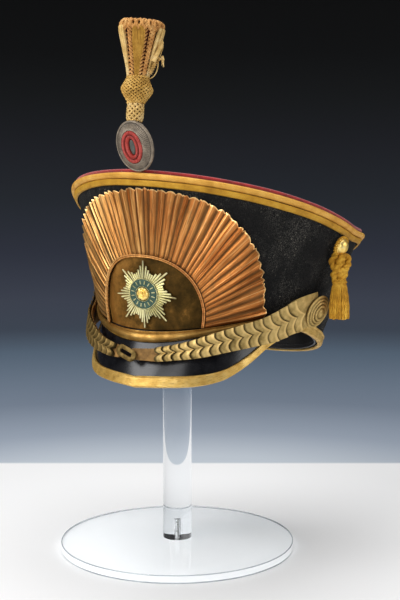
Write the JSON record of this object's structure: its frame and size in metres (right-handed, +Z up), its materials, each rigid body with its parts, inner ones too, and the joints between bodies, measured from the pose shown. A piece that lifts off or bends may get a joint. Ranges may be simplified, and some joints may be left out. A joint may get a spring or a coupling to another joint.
{
  "type": "military shako hat on a clear display stand",
  "caption": "Black felt shako with a pleated copper-gilt sun plate, brass chin scales, visor, cockade and plume, held on a clear post with a round base.",
  "frame": {"origin": "centre of the stand base's underside, on the post's axis", "axes": "+Z up along the post, -Y towards the hat's front, +X towards the wearer's left"},
  "size_m": [0.2384, 0.2555, 0.4034],
  "materials": {
    "felt_black": "rough",
    "leather_black": "satin",
    "patent_black": "gloss",
    "lace_gold": "woven",
    "cloth_red": "felted",
    "leather_gilt": "satin",
    "copper_gilt": "polished, worn",
    "brass_old": "tarnished",
    "silver_gilt": "polished",
    "enamel_green": "gloss",
    "gold_bright": "polished",
    "scale_brass": "aged",
    "leather_brown": "satin",
    "cockade_silver": "ribbed",
    "cockade_red": "ribbed",
    "cockade_core": "matt",
    "cord_gold": "twisted cord",
    "acrylic_clear": "clear, polished",
    "steel": "satin"
  },
  "bodies": {
    "root": {"crown_shell": "felt_black", "crown_top": "leather_black", "sweatband": "leather_black", "rim_piping": "cloth_red", "rim_roll": "lace_gold", "lace_band": "lace_gold", "lower_binding": "leather_gilt", "visor": "patent_black", "visor_rim": "leather_gilt", "fan_plate": "copper_gilt", "arch_plate": "brass_old", "arch_rim": "brass_old", "base_bar": "copper_gilt", "star_rays": "silver_gilt", "star_ring": "enamel_green", "star_centre": "gold_bright", "strap_left": "leather_brown", "scale_left_01": "scale_brass", "scale_left_02": "scale_brass", "scale_left_03": "scale_brass", "scale_left_04": "scale_brass", "scale_left_05": "scale_brass", "scale_left_06": "scale_brass", "scale_left_07": "scale_brass", "scale_left_08": "scale_brass", "scale_left_09": "scale_brass", "scale_left_10": "scale_brass", "scale_left_11": "scale_brass", "scale_left_12": "scale_brass", "scales_left_front": "scale_brass", "rosette_left": "scale_brass", "strap_right": "leather_brown", "scale_right_01": "scale_brass", "scale_right_02": "scale_brass", "scale_right_03": "scale_brass", "scale_right_04": "scale_brass", "scale_right_05": "scale_brass", "scale_right_06": "scale_brass", "scale_right_07": "scale_brass", "scale_right_08": "scale_brass", "scale_right_09": "scale_brass", "scale_right_10": "scale_brass", "scale_right_11": "scale_brass", "scale_right_12": "scale_brass", "scales_right_front": "scale_brass", "rosette_right": "scale_brass", "strap_loop": "scale_brass", "cockade_disc": "cockade_silver", "cockade_ring": "cockade_red", "cockade_core": "cockade_core", "plume_pin": "steel", "plume_neck": "cord_gold", "plume_knot": "cord_gold", "plume_bundle": "cord_gold", "cord_boss": "gold_bright", "cord_knot": "cord_gold", "cord_tassel": "cord_gold", "stand_base": "acrylic_clear", "stand_post": "acrylic_clear", "stand_stud": "steel"}
  },
  "joints": []
}
